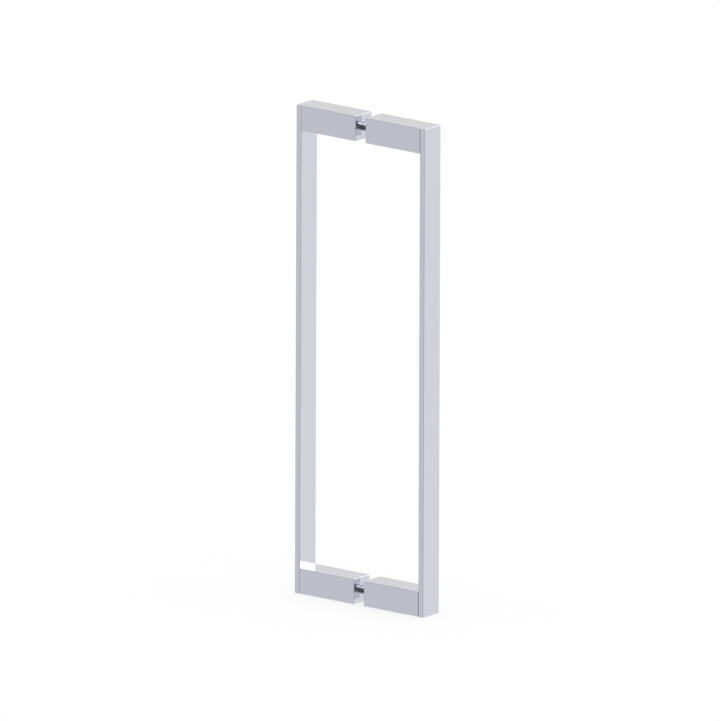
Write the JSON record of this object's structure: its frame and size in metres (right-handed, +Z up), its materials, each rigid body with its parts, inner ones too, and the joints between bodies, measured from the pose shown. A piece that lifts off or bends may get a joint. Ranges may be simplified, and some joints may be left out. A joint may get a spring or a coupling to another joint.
{
  "type": "shower door pull handle",
  "caption": "Back-to-back pull handle for a glass door: flat polished bars on square posts, one handle on each face of the glass, joined by studs through it.",
  "frame": {"origin": "middle of the space for the glass, half-way between the two glass studs", "axes": "+X through the glass towards the outer handle, +Y across the width of the bars, +Z up along the bars"},
  "size_m": [0.1566, 0.025, 0.4822],
  "materials": {
    "polished_chrome": "polished",
    "stud_steel": "polished",
    "fastener_steel": "satin"
  },
  "bodies": {
    "root": {"outer_bar": "polished_chrome", "inner_bar": "polished_chrome", "outer_upper_post": "polished_chrome", "outer_lower_post": "polished_chrome", "inner_upper_post": "polished_chrome", "inner_lower_post": "polished_chrome", "upper_glass_stud": "stud_steel", "lower_glass_stud": "stud_steel", "upper_grub_screw": "fastener_steel", "lower_grub_screw": "fastener_steel", "outer_upper_joint_screw": "fastener_steel", "outer_lower_joint_screw": "fastener_steel", "inner_upper_joint_screw": "fastener_steel", "inner_lower_joint_screw": "fastener_steel", "outer_upper_dowel": "fastener_steel", "outer_lower_dowel": "fastener_steel", "inner_upper_dowel": "fastener_steel", "inner_lower_dowel": "fastener_steel"}
  },
  "joints": []
}
